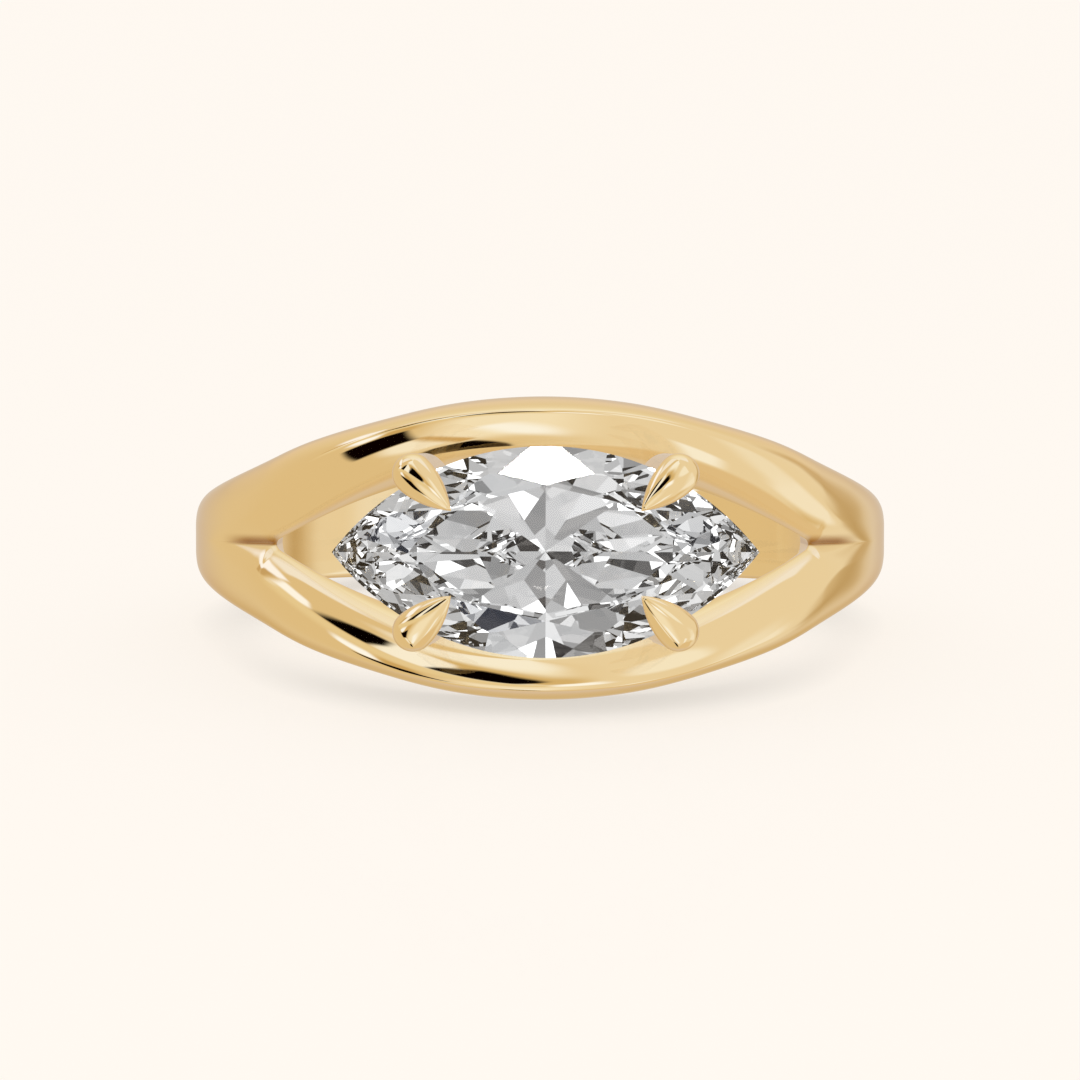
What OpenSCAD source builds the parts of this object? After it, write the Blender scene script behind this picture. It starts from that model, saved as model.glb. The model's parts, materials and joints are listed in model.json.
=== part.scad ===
// A gold engagement ring whose band splits into two strands that pass above and below a marquise stone.
// The ring lies on its side, as it rests by itself, with the stone at the front, facing -Y.
// X runs along the stone and Z is up. The origin is on the floor under the middle of the ring.

/* [Finger hole] */
// Radius of the finger hole
finger_r = 8.25; // [8:0.05:8.5]

/* [Band] */
// Radius of the band's crown at the sides and the back
band_r = 10.15; // [9.9:0.05:10.4]
// Half of the band's width at the back
band_half_w = 1.5; // [1.3:0.05:1.8]
// Radius of the strands' crests beside the stone
head_r = 10.6; // [10.3:0.05:10.8]
// Half of the width over both strands beside the stone
head_half_w = 4.1; // [3.8:0.05:4.4]

/* [Split] */
// Half of the gap between the strands under the stone
gap_half_w = 2.25; // [2.1:0.05:2.4]
// Angle from the front at which the strands part
split_angle = 50.5; // [50:0.5:52]
// Angle from the front at which the valley between the strands has faded out
valley_angle = 69; // [66:1:74]

/* [Stone] */
// Length of the stone, point to point
stone_l = 11.2; // [11:0.05:11.4]
// Width of the stone
stone_w = 5.55; // [5.4:0.05:5.7]
// Distance of the stone's girdle from the finger axis
girdle_r = 11.6; // [11.4:0.05:11.9]
// Height of the crown above the girdle
crown_h = 0.8; // [0.7:0.05:0.9]
// Depth of the pavilion below the girdle
pavilion_h = 2.35; // [2.2:0.05:2.5]
// Thickness of the girdle
girdle_t = 0.1; // [0.08:0.01:0.14]

/* [Claws] */
// Radius of the claws' round ends and of their posts
claw_r = 0.56; // [0.5:0.01:0.6]
// Distance of the round ends from the middle of the stone, along it
claw_x = 3.47; // [3.4:0.01:3.55]
// Distance of the round ends from the middle of the stone, across it
claw_y = 2.05; // [2:0.01:2.1]
// Distance of the pointed tips from the middle of the stone, along it
tip_x = 2.5; // [2.4:0.01:2.6]
// Distance of the pointed tips from the middle of the stone, across it
tip_y = 1.13; // [1.05:0.01:1.2]
// Gap between the stone and the metal that holds it
seat_gap = 0.03; // [0.02:0.01:0.05]

/* [Hidden] */

// Shape of the band's section. The columns are the angle from the front, how far the band has widened there
// (0 is the band's width, 1 the head's), the crest's distance from the middle as a share of the half width,
// how far the slope falls from the crest to the gap, and how square the slope and the outer face are
// (1 is a straight line, 2 an ellipse)
SECTION = [[-15, 0.935, 0.89, 1.95, 2.05, 1.5],
           [0, 1, 0.9, 1.8, 1.7, 1.5],
           [15, 0.935, 0.89, 1.95, 2.05, 1.5],
           [30, 0.746, 0.82, 1.25, 2.15, 1.6],
           [44, 0.54, 0.62, 0.75, 1.9, 2],
           [56, 0.33, 0.28, 0.7, 1.5, 2.3],
           [66, 0.19, 0.3, 0.6, 1.85, 2.3],
           [78, 0.07, 0.3, 0.6, 2, 2.3],
           [90, 0.01, 0.28, 0.6, 2, 2.3],
           [102, 0, 0.28, 0.6, 2, 2.3],
           [180, 0, 0.28, 0.6, 2, 2.3],
           [200, 0, 0.28, 0.6, 2, 2.3]];
WIDENING = 1;
CREST = 2;
FALL = 3;
SLOPE_POWER = 4;
FACE_POWER = 5;

// Step between sections of the band at the front and at the back, in degrees
front_step = 2.5;
back_step = 5;
front_reach = 75;
// Points on the slope inside a crest and on the face outside it
slope_steps = 7;
face_steps = 6;
// Radius at which the outer face reaches the band's full width
rim_r = finger_r + 0.65;
// Rounding of the edge of the finger hole: where it starts, where it ends, and how far it steps in
edge_r = finger_r + 0.25;
edge_end_r = finger_r + 0.05;
edge_in = 0.1;
// The raw band reaches inside the finger hole by this much before the hole is cut
stock = 0.2;
stock_r = finger_r - stock;
stock_in = 0.3;
// Half of the blunt end of the gap where the strands part
split_end = 0.12;
// The gap is wider at the foot of its walls than at their top by this much on each side
gap_draft = 0.2;
// Angle from the front at which the metal inside the finger hole is straight across again
wall_fade_angle = 100;

// Value at angle a of a smooth curve through one column c of a table
function row_at(t, a, k = 1) = (k >= len(t) - 3 || a <= t[k + 1][0]) ? k : row_at(t, a, k + 1);
function slope_of(t, c, k) = (t[k + 1][c] - t[k - 1][c]) / (t[k + 1][0] - t[k - 1][0]);
function hermite(t, c, k, u, d) =
    t[k][c] * (2 * u * u * u - 3 * u * u + 1) + d * slope_of(t, c, k) * (u * u * u - 2 * u * u + u)
    + t[k + 1][c] * (3 * u * u - 2 * u * u * u) + d * slope_of(t, c, k + 1) * (u * u * u - u * u);
function curve_at(t, c, a) =
    let (k = row_at(t, a), d = t[k + 1][0] - t[k][0])
    hermite(t, c, k, (a - t[k][0]) / d, d);
function smooth(u) = let (c = min(max(u, 0), 1)) c * c * (3 - 2 * c);

// Sizes of the band's section at angle a from the front
function half_w(a) = band_half_w + (head_half_w - band_half_w) * curve_at(SECTION, WIDENING, a);
function crest_w(a) = half_w(a) * curve_at(SECTION, CREST, a);
function crest_r(a) = band_r + (head_r - band_r) * (1 - smooth(a / valley_angle));
function valley_fade(a) = smooth((a - split_angle) / (valley_angle - split_angle));
function foot_r(a) = crest_r(a) - curve_at(SECTION, FALL, a) * (1 - valley_fade(a));

// The gap is drawn along the stone: half of its width at distance x from the stone's middle
split_x = foot_r(split_angle) * sin(split_angle);
function gap_at(x) = split_end + (gap_half_w - split_end) * (1 - pow(x / split_x, 2));
function is_split(a) = a <= split_angle;
function inner_w(a) = is_split(a) ? gap_at(foot_r(a) * sin(a)) : 0;
function wall_foot_w(a) = is_split(a) ? inner_w(a) + gap_draft : 0;

// The gap's walls run straight back, so their foot lies at a larger angle than their top
function straight_back(a) = asin(foot_r(a) * sin(a) / stock_r);
function wall_fade(a) = smooth((a - split_angle) / (wall_fade_angle - split_angle));
function wall_angle(a) =
    is_split(a) ? straight_back(a) : a + (straight_back(split_angle) - split_angle) * (1 - wall_fade(a));

// Half of the band's section at angle a, from the gap to the rim: [angle, distance from the middle, radius]
function arc_share(u, p) = pow(max(u, 0), 2 / p);
function slope_points(a) =
    let (p = curve_at(SECTION, SLOPE_POWER, a))
    [for (i = [0 : slope_steps - 1])
        let (t = 90 * i / slope_steps)
        [a, crest_w(a) - (crest_w(a) - inner_w(a)) * arc_share(cos(t), p),
         foot_r(a) + (crest_r(a) - foot_r(a)) * arc_share(sin(t), p)]];
function face_points(a) =
    let (p = curve_at(SECTION, FACE_POWER, a))
    [for (i = [0 : face_steps])
        let (t = 90 * i / face_steps)
        [a, crest_w(a) + (half_w(a) - crest_w(a)) * arc_share(sin(t), p),
         rim_r + (crest_r(a) - rim_r) * arc_share(cos(t), p)]];
function section(a) = concat(
    [[wall_angle(a), wall_foot_w(a), stock_r]],
    slope_points(a),
    face_points(a),
    [[a, half_w(a), edge_r], [a, half_w(a) - edge_in, edge_end_r], [a, half_w(a) - stock_in, stock_r]]);

// Angles of the sections, once round from the front
half_round = concat(
    [for (a = [0 : front_step : front_reach]) a],
    [for (a = [front_reach + back_step : back_step : 180]) a]);
angles = concat(half_round, [for (i = [len(half_round) - 2 : -1 : 1]) -half_round[i]]);
points_n = len(section(0));
sections_n = len(angles);

function in_place(p, hand, side) = [hand * p[2] * sin(p[0]), -p[2] * cos(p[0]), side * p[1]];
band_points =
    [for (a = angles, side = [1, -1], p = section(abs(a))) in_place(p, sign(a), side)];

// Both halves share the two points in the middle plane where the band isn't split
function split_at(i) = is_split(abs(angles[i % sections_n]));
function index(i, side, j) =
    let (lower = (side < 0) && (split_at(i) || j > 1))
    ((i % sections_n) * 2 + (lower ? 1 : 0)) * points_n + j % points_n;
function patch(i, side, j) =
    let (p = index(i, side, j), q = index(i + 1, side, j),
         r = index(i + 1, side, (j + 1) % points_n), s = index(i, side, (j + 1) % points_n))
    side > 0 ? [[p, r, q], [p, s, r]] : [[p, q, r], [p, r, s]];
band_faces =
    [for (i = [0 : sections_n - 1], side = [1, -1], j = [0 : points_n - 1])
        if (j > 0 || split_at(i) || split_at(i + 1)) each patch(i, side, j)];

// The stone's outline is two arcs that meet in a point at each end
half_l = stone_l / 2;
half_s = stone_w / 2;
outline_r = (half_l * half_l + half_s * half_s) / (2 * half_s);
outline_off = outline_r - half_s;
point_angle = asin(half_l / outline_r);
// Distance from the middle to the outline's edge, square to direction b, counted from across the stone
function reach(b) = b > point_angle ? half_l * sin(b) : outline_r - outline_off * cos(b);

// Directions of the main facets, of those of the pavilion, and of the small facets in pairs, in one quarter
MAIN = [0, point_angle / 2, 90];
PAVILION_MAIN = [point_angle / 4, point_angle * 3 / 4];
HALF = [for (k = [1, 3, 5, 7]) point_angle * k / 8];
// Slope of each main facet of the crown, in degrees
MAIN_SLOPE = [36.6, 36.6, 20.5];
half_slope = 41;
star_slope = 21;
// The small facets of the pavilion would meet this much deeper than the main ones
half_depth = 1.06;
cutter = 14;

// Place of a table corner, and the direction and distance of the table's edge between two corners
function girdle_at(b) =
    b > point_angle ? [half_l, 0] : [outline_r * sin(b), outline_r * cos(b) - outline_off];
function corner_at(k) =
    let (run = (crown_h - girdle_t / 2) / tan(MAIN_SLOPE[k]))
    girdle_at(MAIN[k]) - run * [sin(MAIN[k]), cos(MAIN[k])];
function edge_direction(k) =
    let (e = corner_at(k + 1) - corner_at(k)) atan2(-e[1], e[0]);
function edge_reach(k) = corner_at(k) * [sin(edge_direction(k)), cos(edge_direction(k))];

// Takes away what lies above a plane that faces direction b with slope s, and is d out at height z
module cut_facet(b, s, d, z) {
    rotate([0, 0, -b])
        translate([0, d, z])
            rotate([-s, 0, 0])
                translate([-cutter / 2, -cutter / 2, 0])
                    cube(cutter);
}

module cut_quarter(grow) {
    edge_z = girdle_t / 2;
    for (k = [0 : 2])
        cut_facet(MAIN[k], MAIN_SLOPE[k], reach(MAIN[k]) + grow, edge_z + grow / 2);
    for (b = HALF)
        cut_facet(b, half_slope, reach(b) + grow, edge_z + grow / 2);
    for (k = [0, 1])
        cut_facet(edge_direction(k), star_slope, edge_reach(k), crown_h + grow);
    for (b = PAVILION_MAIN)
        mirror([0, 0, 1])
            cut_facet(b, atan(pavilion_h / reach(b)), reach(b) + grow, edge_z + grow / 2);
    for (b = HALF)
        mirror([0, 0, 1])
            cut_facet(b, atan(half_depth * pavilion_h / reach(b)), reach(b) + grow, edge_z + grow / 2);
}

// The cut stone with its table up, larger by grow on every side
module cut_stone(grow = 0) {
    depth = pavilion_h + 1;
    difference() {
        translate([0, 0, -depth])
            linear_extrude(depth + crown_h + grow)
                intersection_for(side = [1, -1])
                    translate([0, -side * outline_off])
                        circle(outline_r + grow, $fn = 180);
        for (mx = [0, 1], my = [0, 1])
            mirror([mx, 0, 0])
                mirror([0, my, 0])
                    cut_quarter(grow);
    }
}

// Outline of a drop claw along its axis: a round end, then a full, swelling taper to the tip
post_top = 0.3;
tip_z = crown_h + 0.1;
tip_end_r = 0.05;
claw_run = norm([claw_x - tip_x, claw_y - tip_y, tip_z - post_top]);
claw_pitch = asin((tip_z - post_top) / claw_run);
claw_heading = atan2(claw_y - tip_y, claw_x - tip_x);
// How much the taper swells: 0 is a cone, and at 1 its edge leaves the round end without a bend
drop_swell = 0.95;
function drop_width(u) = claw_r * (1 - u) * (1 + drop_swell * u);
drop_outline = concat(
    [[0, -claw_r]],
    [for (t = [-60 : 30 : 0]) claw_r * [cos(t), sin(t)]],
    [for (u = [0.25 : 0.25 : 0.75]) [drop_width(u), u * claw_run]],
    [[tip_end_r, claw_run], [0, claw_run + tip_end_r]]);

// Each post runs down the inside of its strand to the finger hole, nearer to the middle of the stone
foot_shift = 0.55;
foot_z = finger_r - girdle_r - 1;
post_lean = atan2(foot_shift, post_top - foot_z);
post_h = (post_top - foot_z) / cos(post_lean);
post_r = 0.97 * claw_r;

module claw() {
    translate([claw_x, claw_y, post_top]) {
        rotate([0, 0, claw_heading])
            rotate([0, claw_pitch - 90, 0])
                rotate_extrude($fn = 12)
                    polygon(drop_outline);
        rotate([0, 180 + post_lean, 0])
            cylinder(h = post_h, r = post_r, $fn = 12);
    }
}

module claws() {
    for (mx = [0, 1], my = [0, 1])
        mirror([mx, 0, 0])
            mirror([0, my, 0])
                claw();
}

// Puts what is modelled with the table up in its place at the front of the ring
module at_front() {
    translate([0, -girdle_r, 0])
        rotate([90, 0, 0])
            children();
}

// The ring leans until the head's lower strand and the back of the band touch the floor together
function low(points, t) = min([for (p = points) p[2] * cos(t) - p[1] * sin(t)]);
front_low = [for (p = band_points) if (p[1] < 0 && p[2] < 0 && norm([p[0], p[1]]) >= finger_r) p];
back_low = [for (p = band_points) if (p[1] > 0 && p[2] < 0 && norm([p[0], p[1]]) >= finger_r) p];
function lean(lo, hi, n) =
    let (m = (lo + hi) / 2)
    n == 0 ? m : (low(front_low, m) < low(back_low, m) ? lean(m, hi, n - 1) : lean(lo, m, n - 1));
rest_lean = lean(0, 20, 30);
floor_z = low(back_low, rest_lean);
front_y = -(girdle_r + post_top) * cos(rest_lean) - claw_y * sin(rest_lean) - claw_r;
back_y = max([for (p = band_points) p[1] * cos(rest_lean) + p[2] * sin(rest_lean)]);

module at_rest() {
    translate([0, -(front_y + back_y) / 2, -floor_z])
        rotate([-rest_lean, 0, 0])
            children();
}

module split_shank() {
    color("#E0BE80")
        at_rest()
            difference() {
                union() {
                    polyhedron(band_points, band_faces);
                    at_front()
                        claws();
                }
                cylinder(h = 4 * head_half_w, r = finger_r, center = true, $fn = 200);
                at_front()
                    cut_stone(seat_gap);
            }
}

module marquise_stone() {
    color("#E8EEF2")
        at_rest()
            at_front()
                cut_stone();
}

split_shank();
marquise_stone();
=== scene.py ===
import json
import math

import bpy
from mathutils import Matrix, Vector


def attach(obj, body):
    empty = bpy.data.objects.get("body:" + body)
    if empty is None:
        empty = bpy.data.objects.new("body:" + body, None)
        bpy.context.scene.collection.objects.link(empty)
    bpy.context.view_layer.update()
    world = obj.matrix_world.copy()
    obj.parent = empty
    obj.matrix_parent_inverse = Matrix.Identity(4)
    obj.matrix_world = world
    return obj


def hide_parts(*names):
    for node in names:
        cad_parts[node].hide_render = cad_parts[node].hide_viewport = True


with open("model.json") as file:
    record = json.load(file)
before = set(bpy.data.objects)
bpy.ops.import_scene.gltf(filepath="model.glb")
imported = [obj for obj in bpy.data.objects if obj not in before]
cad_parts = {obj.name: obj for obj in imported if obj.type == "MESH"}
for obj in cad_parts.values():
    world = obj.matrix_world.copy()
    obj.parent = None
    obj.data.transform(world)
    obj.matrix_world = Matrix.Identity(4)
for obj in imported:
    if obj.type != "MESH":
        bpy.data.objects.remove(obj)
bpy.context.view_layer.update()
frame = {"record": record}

mm = 0.001
photoSize = 1080

# The pieces are modelled upright in millimetres, with the finger hole's axis along Z, and then laid down
# as the CAD lies
fingerMount = frame["record"]["mounts"][0]
ringCentre = Vector(fingerMount["pos_m"])
fingerAxis = Vector(fingerMount["axis"])
restLean = math.atan2(fingerAxis.y, fingerAxis.z)
layDown = Matrix.Translation(ringCentre) @ Matrix.Rotation(-restLean, 4, "X") @ Matrix.Scale(mm, 4)


def sind(a):
    return math.sin(math.radians(a))


def cosd(a):
    return math.cos(math.radians(a))


def smoothStep(u):
    c = min(max(u, 0), 1)
    return c * c * (3 - 2 * c)


def startClean():
    if bpy.context.object and bpy.context.object.mode != "OBJECT":
        bpy.ops.object.mode_set(mode="OBJECT")
    bpy.ops.object.select_all(action="DESELECT")


def pick(piece):
    startClean()
    piece.select_set(True)
    bpy.context.view_layer.objects.active = piece


# Opens a piece for editing, with all of it selected or only the faces whose points pass the test
def editPicked(piece, faceTest=None):
    pick(piece)
    mesh = piece.data
    for items in (mesh.vertices, mesh.edges):
        items.foreach_set("select", [faceTest is None] * len(items))
    for face in mesh.polygons:
        face.select = faceTest is None or faceTest([mesh.vertices[i].co for i in face.vertices])
    bpy.context.tool_settings.mesh_select_mode = (faceTest is None, False, faceTest is not None)
    bpy.ops.object.mode_set(mode="EDIT")


def leaveEdit():
    bpy.ops.object.mode_set(mode="OBJECT")


def applyModifier(piece, kind, **settings):
    pick(piece)
    modifier = piece.modifiers.new(kind.title(), kind)
    for key, value in settings.items():
        setattr(modifier, key, value)
    bpy.ops.object.modifier_apply(modifier=modifier.name)


# Welds points that lie less than the gap apart, in millimetres, and turns all faces outward
def cleanShell(piece, gap=0.0005):
    editPicked(piece)
    bpy.ops.mesh.remove_doubles(threshold=gap)
    bpy.ops.mesh.normals_make_consistent(inside=False)
    leaveEdit()


def layPiece(piece, name, node, material):
    pick(piece)
    piece.name = piece.data.name = name
    piece.matrix_world = layDown @ piece.matrix_world
    bpy.ops.object.transform_apply(location=True, rotation=True, scale=True)
    piece.data.materials.clear()
    piece.data.materials.append(material)
    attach(piece, "root")
    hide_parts(node)


# Materials
def linearColour(hexCode):
    channels = [int(hexCode[i:i + 2], 16) / 255 for i in (1, 3, 5)]
    return [c / 12.92 if c <= 0.04045 else ((c + 0.055) / 1.055) ** 2.4 for c in channels] + [1]


# An input is a plain value, a socket, or a node that gives its first output
def addNode(tree, kind, inputs=None, **settings):
    node = tree.nodes.new(kind)
    for key, value in settings.items():
        setattr(node, key, value)
    for name, value in (inputs or {}).items():
        if isinstance(value, bpy.types.Node):
            value = value.outputs[0]
        if isinstance(value, bpy.types.NodeSocket):
            tree.links.new(value, node.inputs[name])
        else:
            node.inputs[name].default_value = value
    return node


def newMaterial(name):
    material = bpy.data.materials.new(name)
    material.use_nodes = True
    material.node_tree.nodes.clear()
    return material, material.node_tree


# Camera: the photograph looks at the stone from the front and a little above
cameraSet = {
    "distance": 100,      # from the middle of the ring
    "elevation": 10.45,   # above the floor, degrees
    "azimuth": -0.75,     # the camera stands a little to the left
    "roll": 0.15,
    "pixelsPerMm": 33.75,
    "ringMiddle": (540, 536.8),  # where the ring's middle falls in the photograph, pixels
    "sensor": 36,
    "sees": (1, 100000),         # nearest and farthest distance
}


def setCamera(c):
    elevation, azimuth = math.radians(c["elevation"]), math.radians(c["azimuth"])
    back = Vector((math.sin(azimuth) * math.cos(elevation), -math.cos(azimuth) * math.cos(elevation),
                   math.sin(elevation)))
    roll = Matrix.Rotation(math.radians(c["roll"]), 4, "Z")
    turn = (-back).to_track_quat("-Z", "Y").to_matrix().to_4x4() @ roll
    right, up = turn.col[0].to_3d(), turn.col[1].to_3d()
    offset = [(c["ringMiddle"][i] - photoSize / 2) / c["pixelsPerMm"] * mm for i in (0, 1)]
    place = ringCentre + back * c["distance"] * mm - right * offset[0] + up * offset[1]
    bpy.ops.object.camera_add(location=place, rotation=turn.to_euler())
    camera = bpy.context.object
    camera.data.sensor_width = c["sensor"]
    camera.data.lens = c["sensor"] * c["pixelsPerMm"] * c["distance"] / photoSize
    camera.data.clip_start, camera.data.clip_end = [reach * mm for reach in c["sees"]]
    bpy.context.scene.camera = camera


startClean()
setCamera(cameraSet)
print("camera set")


goldLook = {
    "colour": "#F0D5A4",
    "inGold": 0.05,              # strength of gold mirrored in gold
    "mopMark": 0.9,              # size of the marks that the polishing mop leaves, millimetres
    "mopHaze": (0.03, 0.045),    # least and most roughness
    # colour of the shade painted into the crease
    "paintedCreaseShade": "#A56F24",
    # where each edge of the painted crease shade starts and ends, millimetres
    "creaseFrom": (7.2, 7.5),    # along X, to both sides
    "creaseTo": (8.2, 9.1),
    "creaseBelow": (-0.07, 0),   # across the band, from its middle plane
    "creaseAbove": (0.04, 0.32),
    "creaseFront": (-2, 0),      # along Y: the back of the ring has none
}


# Polished yellow gold: a mirror with a warm tint, and hardly any haze left by the polishing mop. Gold
# mirrored in gold is faint, so it stays clean and pale instead of turning orange with each reflection.
# A brown shade is painted into the base colour in the crease at the end of the gap, where the two strands
# meet.
def goldMaterial(c):
    material, tree = newMaterial("polished 14 ct yellow gold")
    place = addNode(tree, "ShaderNodeTexCoord").outputs["Object"]
    mop = addNode(tree, "ShaderNodeTexNoise",
                  {"Vector": place, "Scale": 1 / (c["mopMark"] * mm), "Detail": 3})
    haze = addNode(tree, "ShaderNodeMapRange",
                   {"Value": mop, "To Min": c["mopHaze"][0], "To Max": c["mopHaze"][1]})
    axes = addNode(tree, "ShaderNodeSeparateXYZ", {"Vector": place}).outputs
    side = addNode(tree, "ShaderNodeMath", {0: axes["X"]}, operation="ABSOLUTE")
    along = addNode(tree, "ShaderNodeVectorMath", {0: place, 1: fingerAxis}, operation="DOT_PRODUCT")
    across = addNode(tree, "ShaderNodeMath",
                     {0: along.outputs["Value"], 1: ringCentre.dot(fingerAxis)}, operation="SUBTRACT")
    # painted shade: 1 in the crease where the strands meet, fading out across each edge
    shade = 1
    for value, edge, past in ((side, "creaseFrom", 1), (side, "creaseTo", 0), (axes["Y"], "creaseFront", 0),
                              (across, "creaseBelow", 1), (across, "creaseAbove", 0)):
        start, end = [reach * mm for reach in c[edge]]
        step = addNode(tree, "ShaderNodeMapRange",
                       {"Value": value, "From Min": start, "From Max": end,
                        "To Min": 1 - past, "To Max": past}, interpolation_type="SMOOTHSTEP")
        shade = addNode(tree, "ShaderNodeMath", {0: shade, 1: step}, operation="MULTIPLY")
    # the gold's colour, with the painted crease shade mixed in
    tint = addNode(tree, "ShaderNodeMix",
                   {"Factor": shade, 6: linearColour(c["colour"]), 7: linearColour(c["paintedCreaseShade"])},
                   data_type="RGBA")
    shader = addNode(tree, "ShaderNodeBsdfPrincipled",
                     {"Base Color": tint.outputs[2], "Metallic": 1, "Roughness": haze})
    clear = addNode(tree, "ShaderNodeBsdfTransparent")
    path = addNode(tree, "ShaderNodeLightPath").outputs
    share = addNode(tree, "ShaderNodeMath", {0: path["Is Glossy Ray"], 1: 1 - c["inGold"]},
                    operation="MULTIPLY")
    mix = addNode(tree, "ShaderNodeMixShader", {"Fac": share, 1: shader, 2: clear})
    addNode(tree, "ShaderNodeOutputMaterial", {"Surface": mix})
    return material


diamondLook = {
    "colour": "#FFFFFF",
    "ior": 2.417,
    "mirror": "#89827C",         # tint of what the stone's outside mirrors of the room
}


# Diamond: clear, and bends light so strongly that most of it turns back inside. The gold mirrors the room
# through it.
def diamondMaterial(c):
    material, tree = newMaterial("cut diamond")
    shader = addNode(tree, "ShaderNodeBsdfPrincipled",
                     {"Base Color": linearColour(c["colour"]), "Roughness": 0, "IOR": c["ior"],
                      "Transmission Weight": 1, "Specular Tint": linearColour(c["mirror"])})
    clear = addNode(tree, "ShaderNodeBsdfTransparent")
    path = addNode(tree, "ShaderNodeLightPath").outputs
    outside = addNode(tree, "ShaderNodeMath", {0: path["Transmission Depth"], 1: 0.5},
                      operation="LESS_THAN")
    share = addNode(tree, "ShaderNodeMath", {0: path["Is Glossy Ray"], 1: outside}, operation="MULTIPLY")
    mix = addNode(tree, "ShaderNodeMixShader", {"Fac": share, 1: shader, 2: clear})
    addNode(tree, "ShaderNodeOutputMaterial", {"Surface": mix})
    return material


gold = goldMaterial(goldLook)
diamond = diamondMaterial(diamondLook)
print("materials made")

# The band, in millimetres and degrees from the front
band = {
    "fingerR": 8.25,
    "crestR": 10.15,         # at the sides and the back
    "halfWidth": 1.5,        # at the back
    "headCrestR": 10.6,
    "headHalfWidth": 4.1,
    "gapHalfWidth": 2.25,    # under the stone
    "gapDraft": 0.2,         # how much wider each side of the gap is at the finger hole
    "splitAngle": 50.5,
    "splitEnd": 0.12,
    "valleyAngle": 69,
    "wallFadeAngle": 100,
    "rimR": 8.9,
    "edgeR": 8.5,
    "edgeIn": 0.1,
    "edgeRound": 0.1,
    "edgeRise": 0.02,        # the hole's edge starts this far outside it
    "wallPoints": (0.5, 0.9),  # points on the gap's wall, by height
    "borePoints": (0.5, 0.95),
    "slopePoints": 8,
    "facePoints": 8,
    # places of the sections, in degrees: from the middle of the stone on, before and after the end of the
    # gap, where the shape changes fastest, and round the back
    "frontStep": 3.5,
    "nearSplit": (-1.6, -0.5, -0.05, 0.8, 2.2, 4.5),
    "backFrom": 60,
    "backStep": 4,
    # angle, widening, crest's share of the half width, fall to the gap, slope power, face power
    "section": [(-15, 0.935, 0.89, 1.95, 2.05, 1.5),
                (0, 1, 0.9, 1.8, 1.7, 1.5),
                (15, 0.935, 0.89, 1.95, 2.05, 1.5),
                (30, 0.746, 0.82, 1.25, 2.15, 1.6),
                (44, 0.54, 0.62, 0.75, 1.9, 2),
                (56, 0.33, 0.28, 0.7, 1.5, 2.3),
                (66, 0.19, 0.3, 0.6, 1.85, 2.3),
                (78, 0.07, 0.3, 0.6, 2, 2.3),
                (90, 0.01, 0.28, 0.6, 2, 2.3),
                (102, 0, 0.28, 0.6, 2, 2.3),
                (180, 0, 0.28, 0.6, 2, 2.3),
                (200, 0, 0.28, 0.6, 2, 2.3)],
}


# Every column of a table at angle a, along smooth curves through its rows
def rowAt(table, a):
    k = 1
    while k < len(table) - 3 and a > table[k + 1][0]:
        k += 1
    r0, r1, r2, r3 = table[k - 1:k + 3]
    d = r2[0] - r1[0]
    u = (a - r1[0]) / d
    values = []
    for v0, v1, v2, v3 in list(zip(r0, r1, r2, r3))[1:]:
        s1, s2 = (v2 - v0) / (r2[0] - r0[0]), (v3 - v1) / (r3[0] - r1[0])
        values.append(v1 * (2 * u ** 3 - 3 * u ** 2 + 1) + d * s1 * (u ** 3 - 2 * u ** 2 + u)
                      + v2 * (3 * u ** 2 - 2 * u ** 3) + d * s2 * (u ** 3 - u ** 2))
    return values


def footRadius(b, a, crestR, fall):
    return crestR - fall * (1 - smoothStep((a - b["splitAngle"]) / (b["valleyAngle"] - b["splitAngle"])))


def crestRadius(b, a):
    return b["crestR"] + (b["headCrestR"] - b["crestR"]) * (1 - smoothStep(a / b["valleyAngle"]))


# The gap's walls run straight back, so at radius r they have come round to a larger angle
def wallAngle(b, a, foot, r):
    if a < b["splitAngle"]:
        return math.degrees(math.asin(min(foot * sind(a) / r, 1)))
    end = b["splitAngle"]
    endFoot = footRadius(b, end, crestRadius(b, end), rowAt(b["section"], end)[2])
    fade = smoothStep((a - end) / (b["wallFadeAngle"] - end))
    turn = math.degrees(math.asin(min(endFoot * sind(end) / r, 1))) - end
    return a + turn * (1 - fade) if r < endFoot else a


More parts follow.
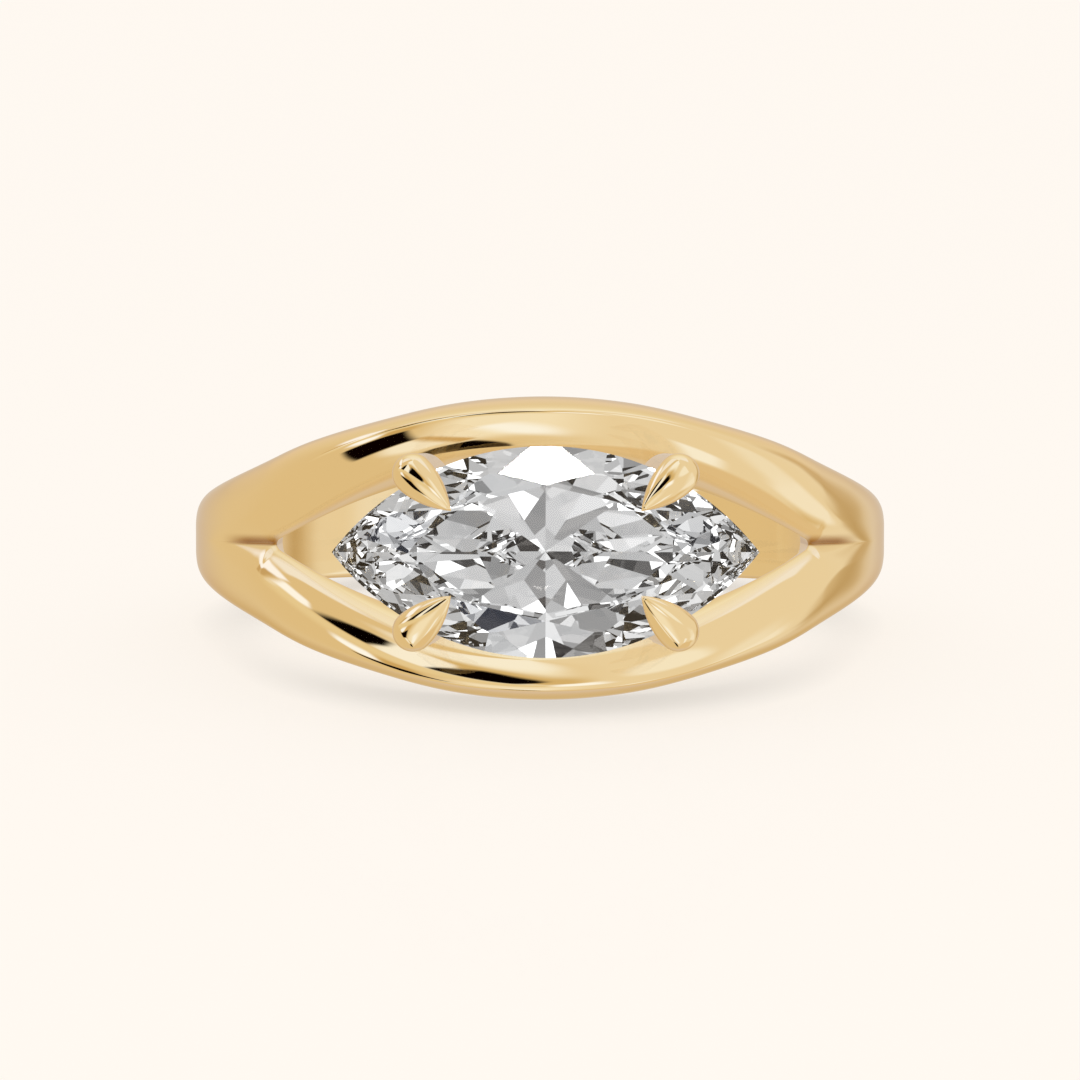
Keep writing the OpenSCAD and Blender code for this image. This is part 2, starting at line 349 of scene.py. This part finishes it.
# Half of the section at angle a as a closed loop of (angle, distance from the middle, radius)
def strandLoop(b, a):
    bore, end, edge = b["fingerR"], b["splitAngle"], b["edgeRound"]
    widening, crestShare, fall, slopePower, facePower = rowAt(b["section"], a)
    half = b["halfWidth"] + (b["headHalfWidth"] - b["halfWidth"]) * widening
    crestW, crestR = half * crestShare, crestRadius(b, a)
    foot = footRadius(b, a, crestR, fall)
    endX = footRadius(b, end, crestRadius(b, end), rowAt(b["section"], end)[2]) * sind(end)
    inner = draft = 0
    if a < end:
        inner = b["splitEnd"] + (b["gapHalfWidth"] - b["splitEnd"]) * (1 - (foot * sind(a) / endX) ** 2)
        draft = b["gapDraft"]
    points = []
    for up in (0, edge / (foot - bore), *b["wallPoints"]):
        r = bore + (foot - bore) * up
        points.append((wallAngle(b, a, foot, r), inner + draft * (1 - up), r))
    for i in range(b["slopePoints"]):
        t = 90 * i / b["slopePoints"]
        points.append((a, crestW - (crestW - inner) * cosd(t) ** (2 / slopePower),
                       foot + (crestR - foot) * sind(t) ** (2 / slopePower)))
    for i in range(b["facePoints"]):
        t = 90 * i / (b["facePoints"] - 1)
        points.append((a, crestW + (half - crestW) * sind(t) ** (2 / facePower),
                       b["rimR"] + (crestR - b["rimR"]) * max(cosd(t), 0) ** (2 / facePower)))
    rimFoot = half - b["edgeIn"]
    points += [(a, half, b["edgeR"]), (a, rimFoot, bore + b["edgeRise"]), (a, rimFoot - edge, bore)]
    innerEdge = inner + draft + (edge if a < end else 0)
    for share in b["borePoints"]:
        turn = wallAngle(b, a, foot, bore) - a
        points.append((a + turn * share, rimFoot - edge + (innerEdge - rimFoot + edge) * share, bore))
    return points


def ringAngles(b):
    near = [b["splitAngle"] + offset for offset in b["nearSplit"]]
    front = [b["frontStep"] * i for i in range(math.ceil(near[0] / b["frontStep"]))]
    back = list(range(b["backFrom"], 180, b["backStep"]))
    half = front + near + back + [180]
    return half + [-a for a in reversed(half[1:-1])]


# A plain hoop is spun, and each ring of it is then drawn out to the section that the band has there
def makeBand(b):
    angles = ringAngles(b)
    loops = [strandLoop(b, abs(a)) for a in angles]
    n = len(loops[0])
    startClean()
    bpy.ops.mesh.primitive_circle_add(vertices=n, radius=1, location=(0, -b["crestR"], 0),
                                      rotation=(math.pi / 2, 0, math.pi / 2))
    piece = bpy.context.object
    bpy.ops.object.transform_apply(location=True, rotation=True, scale=True)
    editPicked(piece)
    bpy.ops.mesh.spin(steps=len(angles), angle=2 * math.pi, center=(0, 0, 0), axis=(0, 0, 1))
    bpy.ops.mesh.select_all(action="SELECT")
    bpy.ops.mesh.remove_doubles(threshold=0.001)
    leaveEdit()
    for v in piece.data.vertices:
        k = round(math.degrees(math.atan2(v.co.x, -v.co.y)) / 360 * len(angles)) % len(angles)
        j = round(math.atan2(v.co.z, math.hypot(v.co.x, v.co.y) - b["crestR"]) / (2 * math.pi) * n) % n
        a, w, r = loops[k][j]
        hand = -1 if angles[k] < 0 else 1
        v.co = (hand * r * sind(a), -r * cosd(a), w)
    # where the strands have joined, what lies in the middle plane is inside the metal
    editPicked(piece, lambda points: all(abs(p.z) < 1e-6 for p in points))
    bpy.ops.mesh.delete(type="FACE")
    leaveEdit()
    applyModifier(piece, "MIRROR", use_axis=(False, False, True), use_clip=True, merge_threshold=0.001)
    cleanShell(piece)
    applyModifier(piece, "SUBSURF", levels=2, render_levels=2)
    bpy.ops.object.shade_smooth()
    return piece


bandPiece = makeBand(band)
layPiece(bandPiece, "splitBand", "split_shank", gold)
print("band made:", len(bandPiece.data.polygons), "faces")

# The stone with its table up, X along it, in millimetres and degrees
stone = {
    "length": 11.2,
    "width": 5.55,
    "girdleR": 11.6,         # distance of the girdle from the finger axis
    "crownHeight": 0.8,
    "pavilionDepth": 2.35,
    "girdle": 0.1,
    "mainSlopes": (36.6, 36.6, 20.5),
    "halfSlope": 41,
    "starSlope": 21,
    "halfDepth": 1.06,
    "girdleStep": 2.5,       # angle between the girdle's small flats
}


# The stone is cut plane by plane from a block that is a little larger
def makeStone(s):
    halfL, halfW = s["length"] / 2, s["width"] / 2
    outlineR = (halfL ** 2 + halfW ** 2) / (2 * halfW)
    outlineOff = outlineR - halfW
    pointAngle = math.degrees(math.asin(halfL / outlineR))
    mains = (0, pointAngle / 2, 90)
    halves = [pointAngle * k / 8 for k in (1, 3, 5, 7)]
    edge = s["girdle"] / 2

    def reach(d):
        return halfL * sind(d) if d > pointAngle else outlineR - outlineOff * cosd(d)

    def girdlePoint(d):
        if d > pointAngle:
            return Vector((halfL, 0))
        return Vector((outlineR * sind(d), outlineR * cosd(d) - outlineOff))

    def tableCorner(k):
        run = (s["crownHeight"] - edge) / math.tan(math.radians(s["mainSlopes"][k]))
        return girdlePoint(mains[k]) - run * Vector((sind(mains[k]), cosd(mains[k])))

    # each cut: direction from across the stone, slope from flat, distance out and height of a point on it
    flats = [k * s["girdleStep"] for k in range(int(pointAngle / s["girdleStep"]) + 1)]
    cuts = [(d, 90, reach(d), 0) for d in flats]
    cuts += [(mains[k], s["mainSlopes"][k], reach(mains[k]), edge) for k in range(3)]
    cuts += [(d, s["halfSlope"], reach(d), edge) for d in halves]
    for k in (0, 1):
        run = tableCorner(k + 1) - tableCorner(k)
        d = math.degrees(math.atan2(-run.y, run.x))
        out = tableCorner(k).dot(Vector((sind(d), cosd(d))))
        cuts.append((d, s["starSlope"], out, s["crownHeight"]))
    for d, share in [(pointAngle * k / 4, 1) for k in (1, 3)] + [(d, s["halfDepth"]) for d in halves]:
        slope = math.degrees(math.atan(share * s["pavilionDepth"] / reach(d)))
        cuts.append((d, -slope, reach(d), -edge))

    startClean()
    bpy.ops.mesh.primitive_cube_add(size=1, location=(0, 0, 0))
    piece = bpy.context.object
    piece.scale = (s["length"] + 1, s["width"] + 1, 2 * s["pavilionDepth"] + 1)
    bpy.ops.object.transform_apply(location=True, rotation=True, scale=True)
    bpy.ops.object.mode_set(mode="EDIT")
    planes = {((0, 0, s["crownHeight"]), (0, 0, 1))}
    for d, slope, out, height in cuts:
        for mx in (1, -1):
            for my in (1, -1):
                flat = (round(mx * sind(d), 9), round(my * cosd(d), 9))
                lean = abs(slope)
                normal = (flat[0] * sind(lean), flat[1] * sind(lean), cosd(lean) * (1 if slope > 0 else -1))
                planes.add(((flat[0] * out, flat[1] * out, height), normal))
    for point, normal in sorted(planes):
        bpy.ops.mesh.select_all(action="SELECT")
        bpy.ops.mesh.bisect(plane_co=point, plane_no=normal, use_fill=True, clear_outer=True, threshold=1e-5)
    leaveEdit()
    cleanShell(piece, 0.002)
    piece.matrix_world = Matrix.Translation((0, -s["girdleR"], 0)) @ Matrix.Rotation(math.pi / 2, 4, "X")
    bpy.ops.object.shade_flat()
    return piece


stonePiece = makeStone(stone)
layPiece(stonePiece, "marquiseDiamond", "marquise_stone", diamond)
print("stone cut:", len(stonePiece.data.polygons), "facets")

# The claws, in the stone's place and axes
claw = {
    "radius": 0.543,
    "post": (3.47, 2.05, 0.3),    # middle of the round end
    "tip": (2.5, 1.13, 0.9),
    "tipRadius": 0.05,
    "swell": 0.95,                # how much the taper swells: 0 is a cone
    "postRadius": 0.52,
    "footShift": 0.55,            # how far the post's foot lies nearer to the stone's middle
    "footPast": 1,                # how far the foot runs on into the finger hole before the hole is cut
    "sides": 48,
    "rings": 32,
    "sharp": 35,                  # angle from which an edge stays sharp, degrees
    "holeSides": 360,
}


def makeClaws(c, s, b):
    post, tip = Vector(c["post"]), Vector(c["tip"])
    run = (tip - post).length
    startClean()
    bpy.ops.mesh.primitive_uv_sphere_add(segments=c["sides"], ring_count=c["rings"], radius=c["radius"])
    drop = bpy.context.object
    # the half towards the stone is drawn out into the drop's taper
    for v in drop.data.vertices:
        if v.co.z > 1e-6:
            u = v.co.z / c["radius"]
            along = run + c["tipRadius"]
            z = along * (1 - math.sqrt(max(1 - u * u, 0)) if u < 1 else 1)
            u = z / along
            flat = Vector((v.co.x, v.co.y))
            if flat.length > 1e-9:
                flat.normalize()
            width = c["radius"] * (1 - u) * (1 + c["swell"] * u) if u < 1 else 0
            v.co = (flat.x * width, flat.y * width, z)
    drop.matrix_world = Matrix.Translation(post) @ (tip - post).to_track_quat("Z", "Y").to_matrix().to_4x4()
    pick(drop)
    bpy.ops.object.transform_apply(location=True, rotation=True, scale=True)
    footZ = b["fingerR"] - s["girdleR"] - c["footPast"]
    foot = Vector((post.x - c["footShift"], post.y, footZ))
    startClean()
    bpy.ops.mesh.primitive_cylinder_add(vertices=c["sides"], radius=c["postRadius"],
                                        depth=(post - foot).length)
    stem = bpy.context.object
    stem.matrix_world = (Matrix.Translation((post + foot) / 2)
                         @ (post - foot).to_track_quat("Z", "Y").to_matrix().to_4x4())
    pick(stem)
    bpy.ops.object.transform_apply(location=True, rotation=True, scale=True)
    applyModifier(drop, "BOOLEAN", operation="UNION", object=stem, solver="EXACT")
    bpy.data.objects.remove(stem)
    drop.matrix_world = Matrix.Translation((0, -s["girdleR"], 0)) @ Matrix.Rotation(math.pi / 2, 4, "X")
    pick(drop)
    bpy.ops.object.transform_apply(location=True, rotation=True, scale=True)
    applyModifier(drop, "MIRROR", use_axis=(True, False, True))
    startClean()
    bpy.ops.mesh.primitive_cylinder_add(vertices=c["holeSides"], radius=b["fingerR"],
                                        depth=4 * b["headHalfWidth"])
    hole = bpy.context.object
    applyModifier(drop, "BOOLEAN", operation="DIFFERENCE", object=hole, solver="EXACT")
    bpy.data.objects.remove(hole)
    cleanShell(drop)
    bpy.ops.object.shade_smooth_by_angle(angle=math.radians(c["sharp"]))
    return drop


clawPiece = makeClaws(claw, stone, band)
layPiece(clawPiece, "dropClaws", "split_shank", gold)
print("claws made:", len(clawPiece.data.polygons), "faces")


# Studio. The gold reflects a room of soft lights and dark cards, given by direction: azimuth from the front
# towards +X and elevation, in degrees. Each corner also has the softness of the edge that starts there.
# Colours are those that the gold shows.
studio = {
    "paper": "#FEF8F1",
    "floorReach": 3000,
    "floorShare": 0.9,        # light that the floor sends back
    "glow": 1.027,            # makes up for the mirror's share
    "shadowShare": 0.2,       # share of the floor's light that a shadow can take
    "contactReach": 1.6,      # a shadow is painted on the paper where the ring is nearer than this, millimetres
    # colour of the painted contact shadow
    "paintedContactShadow": "#DEDCD9",
    "mirrorShare": 0.05,
    "mirrorHaze": 0.03,
    "left": "#DEBB7E",
    "right": "#E9CD99",
    "turn": (-20, 30),        # azimuths between which the left's colour goes over into the right's
    "behindFrom": (124, 160),
    # behind the ring, by elevation: colour, and how far gold whitens at the slant at which it shows there
    "behind": [(-80, "#DBB67A", 0), (-65, "#D9BC93", 0.05), (-52, "#D8BB93", 0.15), (-40, "#D5B37E", 0.25),
               (-28, "#D0AC70", 0.4), (-18, "#D6BD9C", 0.8), (-8, "#DBCDBE", 1), (6, "#DDCEBB", 1),
               (14, "#EAD5B5", 0.7), (26, "#E8D1A5", 0.4), (38, "#EBD4A6", 0.2), (50, "#F3E0B5", 0.1),
               (70, "#F4E2BC", 0), (86, "#F4E4BC", 0)],
    # the small light that only the stone mirrors
    "sparkDistance": 60,
    "sparkSize": 16,
    "sparkPower": 0.019,
    "sparkColour": "#F6FCFF",
    "gemScale": 7,            # size of the grey cards that the stone gathers its light from
    "gemGreys": [(0, 0), (0.09, 0.05), (0.15, 0.28), (0.3, 0.5), (0.5, 0.62), (0.72, 0.82), (0.9, 1.5)],
}
cards = {
    "frontFill": ("#F3DDB0", [(-32, 10, 10), (-34, -62, 10), (10, -66, 12), (14, 10, 14)]),
    "frontRidge": ("#FCF1D8", [(-19, -32, 5), (-9, -30, 6), (5, -52, 6), (4, -68, 5), (-7, -60, 4)]),
    "topFill": ("#F4E1B8", [(-50, 24, 8), (8, 24, 8), (8, 100, 12), (-50, 100, 12)]),
    "topLight": ("#F8EACA", [(-66, 66, 8), (6, 66, 8), (6, 100, 12), (-66, 100, 12)]),
    "leftLine": ("#FFF3E0", [(-146, 33, 2), (-96, 31, 2), (-92, 39, 2), (-112, 45, 2), (-128, 44, 3)]),
    "leftWindow": ("#FFF4DE", [(-96, 19, 2), (-87, 19, 2), (-79, 26, 1.5), (-80, 34, 2.5), (-93, 34, 2.5)]),
    "leftEdge": ("#C79E5F", [(-105, 22, 2), (-98, 22, 2), (-96, 32, 2), (-104, 33, 2)]),
    "upperShade": ("#CDA25C", [(-56, -1, 2), (-56, 13, 4), (-44, 11, 4), (-42, -3, 3)]),
    "leftSpark": ("#FFF6E2", [(-72, 13, 3), (-73, 6, 2), (-63, -1, 2), (-57, 1, 2), (-59, 12, 3)]),
    "upperStripe": ("#F6E3BC", [(-47, -27, 2), (-37, -28, 2), (-25, -56, 2), (-32, -58, 3), (-43, -42, 4)]),
    "upperTail": ("#CDA15F", [(-37, -26, 2), (-33, -28, 1.5), (-16, -61, 2), (-22, -63, 2)]),
    "upperCard": ("#0A0100", [(-69, -3, 1.5), (-52, -1, 2), (-45, -2, 2), (-36, -28, 2), (-56, -25, 1.5)]),
    "upperCardTwo": ("#060100", [(-31, -65, 1.5), (-17, -65, 2), (-5, -84, 2), (-3, -94, 2), (-52, -94, 2)]),
    "lowerBand": ("#E6C78B", [(-96, 13, 5), (-96, 23, 2), (4, 23, 2), (4, 12, 5)]),
    "lowerShade": ("#D4AD69", [(-44, 62, 4), (-36, 50, 4), (2, 25, 3), (16, 28, 6), (14, 44, 8),
                               (-8, 62, 6)]),
    "lowerStrip": ("#F9EBCC", [(-56, 25, 2), (-38, 25, 2), (-31, 38, 2), (-29, 51, 3), (-38, 57, 3),
                               (-50, 56, 4)]),
    "lowerLight": ("#FFF5DD", [(3, 14, 4), (5, 27, 2), (19, 25, 4), (24, 12, 4)]),
    "lowerCardOne": ("#060100", [(-77, 25, 1.5), (-58, 25, 1.5), (-51, 40, 2), (-51, 53, 3), (-58, 53, 3),
                                 (-67, 44, 3)]),
    "lowerCardTwo": ("#060100", [(-39, 25, 1.5), (-9, 25, 2.5), (2, 36, 4), (1, 42, 4), (-14, 53, 4),
                                 (-21, 53, 3), (-33, 38, 1.5)]),
    "rightLight": ("#F5E3BC", [(30, 24, 4), (44, 14, 4), (58, 14, 4), (54, 34, 4), (48, 50, 5), (34, 50, 6),
                               (27, 36, 4)]),
    "rightStreak": ("#F8E9C8", [(37, -31, 3), (52, -31, 4), (49, -52, 3), (39, -58, 3)]),
    "underRight": ("#DFBA7E", [(50, -52, 5), (74, -44, 4), (150, -52, 6), (150, -100, 6), (30, -100, 6),
                               (34, -70, 4)]),
    "rightPale": ("#F0DAAE", [(62, 6, 7), (78, 10, 7), (88, -3, 6), (84, -26, 8), (68, -22, 8)]),
    "rightLeaf": ("#F4E0B8", [(70, -25, 7), (80, -13, 7), (88, -4, 6), (103, -20, 6), (112, -32, 6),
                              (100, -36, 6), (86, -37, 6), (72, -36, 7)]),
    "rightEdge": ("#D8B272", [(80, -40, 6), (104, -38, 6), (112, -28, 6), (120, -42, 7), (104, -50, 7),
                              (86, -48, 7)]),
    "farRight": ("#CFAB70", [(118, 0, 8), (138, 8, 8), (138, -34, 8), (120, -27, 8), (110, -14, 8),
                             (108, -6, 8)]),
    "farRightLine": ("#BF985B", [(123, 10, 6), (131, 14, 6), (131, -22, 6), (120, -26, 6)]),
    "farRightTop": ("#C8A165", [(129, 26, 6), (145, 24, 7), (136, 2, 8), (125, -2, 8)]),
    "leftRim": ("#F3E2C4", [(-146, 60, 5), (-128, 47, 4), (-100, 47, 3), (-98, 66, 4), (-112, 78, 5),
                            (-146, 78, 5)]),
    "rightRim": ("#F3E2C4", [(101, 50, 3), (165, 50, 4), (165, 78, 5), (112, 78, 5), (101, 64, 3)]),
}


# A mask that is 1 inside the card's corners and falls off softly across its edges
def cardMask(tree, chart, corners):
    middle = [sum(c[i] for c in corners) / len(corners) for i in (0, 1)]
    mask = 1
    for (x0, y0, soft), (x1, y1, _) in zip(corners, corners[1:] + corners[:1]):
        length = math.hypot(x1 - x0, y1 - y0)
        inward = ((y0 - y1) / length, (x1 - x0) / length)
        if inward[0] * (middle[0] - x0) + inward[1] * (middle[1] - y0) < 0:
            inward = (-inward[0], -inward[1])
        edge = inward[0] * x0 + inward[1] * y0
        across = addNode(tree, "ShaderNodeVectorMath", {0: chart, 1: (*inward, 0)}, operation="DOT_PRODUCT")
        side = addNode(tree, "ShaderNodeMapRange",
                       {"Value": across.outputs["Value"], "From Min": edge - soft, "From Max": edge + soft},
                       interpolation_type="SMOOTHSTEP")
        mask = addNode(tree, "ShaderNodeMath", {0: mask, 1: side}, operation="MULTIPLY")
    return mask


# The light that gold has to receive to show a colour. At a slant gold whitens, up to 1.
def lightFor(hexCode, slant=0):
    wanted, metal = linearColour(hexCode), linearColour(goldLook["colour"])
    return [wanted[i] / (metal[i] + (1 - metal[i]) * slant) for i in range(3)] + [1]


# The floor: smooth cream paper that glows as evenly as the photographer's sheet. The ring takes only a share
# of its light away, with a shadow painted into the glow where it nearly touches, and shows faintly in its
# satin face.
def makeFloor(c):
    startClean()
    bpy.ops.mesh.primitive_plane_add(size=2 * c["floorReach"] * mm, location=(0, 0, 0))
    floor = bpy.context.object
    floor.name = "studioFloor"
    floor.visible_glossy = floor.visible_transmission = False
    material, tree = newMaterial("satin cream paper")
    paper = linearColour(c["paper"])
    matt = addNode(tree, "ShaderNodeBsdfDiffuse", {"Color": [v * c["floorShare"] for v in paper[:3]] + [1]})
    near = addNode(tree, "ShaderNodeAmbientOcclusion", {"Distance": c["contactReach"] * mm}, samples=1)
    # the glow's colour darkens towards the painted contact shadow where the ring is near
    shaded = addNode(tree, "ShaderNodeMix",
                     {"Factor": near.outputs["AO"], 6: linearColour(c["paintedContactShadow"]), 7: paper},
                     data_type="RGBA")
    glow = addNode(tree, "ShaderNodeEmission", {"Color": shaded.outputs[2], "Strength": c["glow"]})
    sheen = addNode(tree, "ShaderNodeBsdfGlossy", {"Color": (1, 1, 1, 1), "Roughness": c["mirrorHaze"]})
    lit = addNode(tree, "ShaderNodeMixShader", {"Fac": c["shadowShare"], 1: glow, 2: matt})
    mix = addNode(tree, "ShaderNodeMixShader", {"Fac": c["mirrorShare"], 1: lit, 2: sheen})
    addNode(tree, "ShaderNodeOutputMaterial", {"Surface": mix})
    floor.data.materials.append(material)


# The gold sees the cards by direction, and the light behind the ring by elevation alone
def makeWorld(c, cardSet):
    world = bpy.data.worlds.new("studio")
    bpy.context.scene.world = world
    world.use_nodes = True
    tree = world.node_tree
    tree.nodes.clear()
    ray = addNode(tree, "ShaderNodeTexCoord").outputs["Generated"]
    axes = addNode(tree, "ShaderNodeSeparateXYZ", {"Vector": ray}).outputs
    front = addNode(tree, "ShaderNodeMath", {0: axes["Y"], 1: -1}, operation="MULTIPLY")
    angles = []
    for kind, sides in (("ARCTAN2", {0: axes["X"], 1: front}), ("ARCSINE", {0: axes["Z"]})):
        turn = addNode(tree, "ShaderNodeMath", sides, operation=kind)
        angles.append(addNode(tree, "ShaderNodeMath", {0: turn}, operation="DEGREES"))
    azimuth, elevation = angles
    chart = addNode(tree, "ShaderNodeCombineXYZ", {"X": azimuth, "Y": elevation})
    away = addNode(tree, "ShaderNodeMath", {0: azimuth}, operation="ABSOLUTE")
    toRight, toBack = [
        addNode(tree, "ShaderNodeMapRange", {"Value": value, "From Min": start, "From Max": end},
                interpolation_type="SMOOTHSTEP")
        for value, (start, end) in ((azimuth, c["turn"]), (away, c["behindFrom"]))]
    height = addNode(tree, "ShaderNodeMapRange", {"Value": elevation, "From Min": -90, "From Max": 90})
    behind = addNode(tree, "ShaderNodeValToRGB", {"Fac": height})
    for k, (angle, look, slant) in enumerate(c["behind"]):
        stop = behind.color_ramp.elements[0] if k == 0 else behind.color_ramp.elements.new(0.999)
        stop.position, stop.color = (angle + 90) / 180, lightFor(look, slant)
    behind.color_ramp.elements.remove(behind.color_ramp.elements[-1])
    colour = lightFor(c["left"])
    layers = [(toRight, lightFor(c["right"]))]
    layers += [(cardMask(tree, chart, corners), lightFor(look)) for look, corners in cardSet.values()]
    layers.append((toBack, behind))
    for share, look in layers:
        mix = addNode(tree, "ShaderNodeMix", {"Factor": share, 6: colour, 7: look}, data_type="RGBA")
        colour = mix.outputs[2]
    sky = addNode(tree, "ShaderNodeBackground", {"Color": colour})

    # the stone gathers light from a room of plain grey cards
    cells = addNode(tree, "ShaderNodeTexVoronoi", {"Vector": ray, "Scale": c["gemScale"]})
    grey = addNode(tree, "ShaderNodeSeparateColor", {"Color": cells.outputs["Color"]})
    ramp = addNode(tree, "ShaderNodeValToRGB", {"Fac": grey})
    ramp.color_ramp.interpolation = "CONSTANT"
    for k, (start, level) in enumerate(c["gemGreys"]):
        stop = ramp.color_ramp.elements[k] if k < 2 else ramp.color_ramp.elements.new(start)
        stop.position, stop.color = start, (level, level, level, 1)

    # glass, matt paper and the camera each see a room of their own
    path = addNode(tree, "ShaderNodeLightPath").outputs
    gemRoom = addNode(tree, "ShaderNodeBackground", {"Color": ramp})
    whiteRoom = addNode(tree, "ShaderNodeBackground",
                        {"Color": (1, 1, 1, 1), "Strength": 1 / c["floorShare"]})
    paperRoom = addNode(tree, "ShaderNodeBackground", {"Color": linearColour(c["paper"])})
    for kind, room in (("Is Transmission Ray", gemRoom), ("Is Diffuse Ray", whiteRoom),
                       ("Is Camera Ray", paperRoom)):
        sky = addNode(tree, "ShaderNodeMixShader", {"Fac": path[kind], 1: sky, 2: room})
    addNode(tree, "ShaderNodeOutputWorld", {"Surface": sky})
    # the rays that leave the floor and the gold find the room without a map of its bright parts
    world.cycles.sampling_method = "NONE"


# A small bright light that only the stone mirrors: it whitens the facet above the middle of the table,
# a third of the stone's width from its middle
def makeStoneLight(c, s):
    lean = Matrix.Rotation(-restLean, 3, "X")
    facet = lean @ Vector((0, -cosd(s["mainSlopes"][0]), sind(s["mainSlopes"][0])))
    facetMiddle = ringCentre + lean @ Vector((0, -s["girdleR"], s["width"] / 3)) * mm
    toCamera = (bpy.context.scene.camera.location - facetMiddle).normalized()
    aim = 2 * facet.dot(toCamera) * facet - toCamera
    startClean()
    bpy.ops.object.light_add(type="AREA", location=facetMiddle + aim * c["sparkDistance"] * mm,
                             rotation=aim.to_track_quat("Z", "Y").to_euler())
    spark = bpy.context.object
    spark.data.shape = "DISK"
    spark.data.size = c["sparkSize"] * mm
    spark.data.energy = c["sparkPower"]
    spark.data.color = linearColour(c["sparkColour"])[:3]
    spark.visible_camera = False
    receivers = bpy.data.collections.new("lit by the spark")
    receivers.objects.link(stonePiece)
    spark.light_linking.receiver_collection = receivers


makeFloor(studio)
makeWorld(studio, cards)
makeStoneLight(studio, stone)
bandPiece.visible_transmission = clawPiece.visible_transmission = False

scene = bpy.context.scene
scene.view_settings.view_transform = "Standard"
stoneBounces, goldBounces = 32, 12
scene.cycles.max_bounces = scene.cycles.transmission_bounces = stoneBounces
scene.cycles.glossy_bounces = goldBounces
print("studio set")
